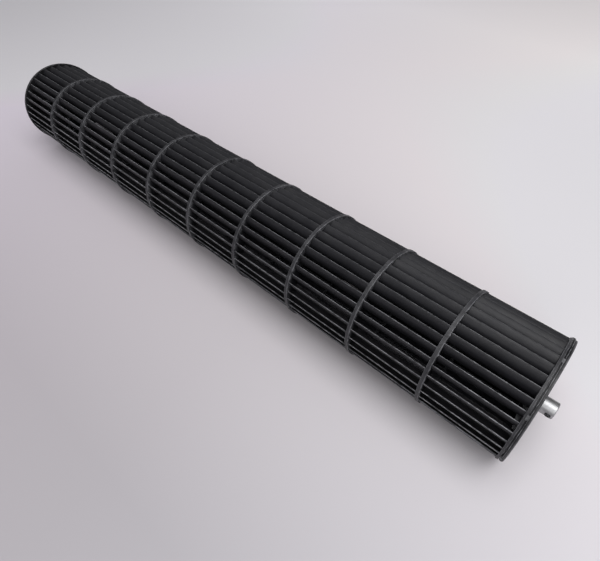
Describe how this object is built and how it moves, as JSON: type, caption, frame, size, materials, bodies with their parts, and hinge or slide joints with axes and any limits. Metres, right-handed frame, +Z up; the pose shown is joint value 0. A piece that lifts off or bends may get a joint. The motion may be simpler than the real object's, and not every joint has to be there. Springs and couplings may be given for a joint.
{
  "type": "cross flow fan wheel",
  "caption": "Long cross flow fan wheel of a split air conditioner: dark moulded blade sections welded end to end, a metal shaft boss at one end and a stub shaft at the other.",
  "frame": {"origin": "centre of the shaft bore at its mouth, on the wheel's axis", "axes": "+X along the wheel's axis, out of the motor end; +Z up"},
  "size_m": [0.6759, 0.097, 0.097],
  "materials": {
    "fan_plastic": "fine-grained dark grey, glass-filled",
    "boss_metal": "turned, with a milled flat",
    "screw_steel": "blackened",
    "shaft_steel": "ground"
  },
  "bodies": {
    "root": {"blade_section_01": "fan_plastic", "blade_section_02": "fan_plastic", "blade_section_03": "fan_plastic", "blade_section_04": "fan_plastic", "blade_section_05": "fan_plastic", "blade_section_06": "fan_plastic", "blade_section_07": "fan_plastic", "blade_section_08": "fan_plastic", "blade_section_09": "fan_plastic", "blade_section_10": "fan_plastic", "motor_end_disc": "fan_plastic", "bearing_end_disc": "fan_plastic", "shaft_boss": "boss_metal", "set_screw": "screw_steel", "end_shaft": "shaft_steel"}
  },
  "joints": []
}
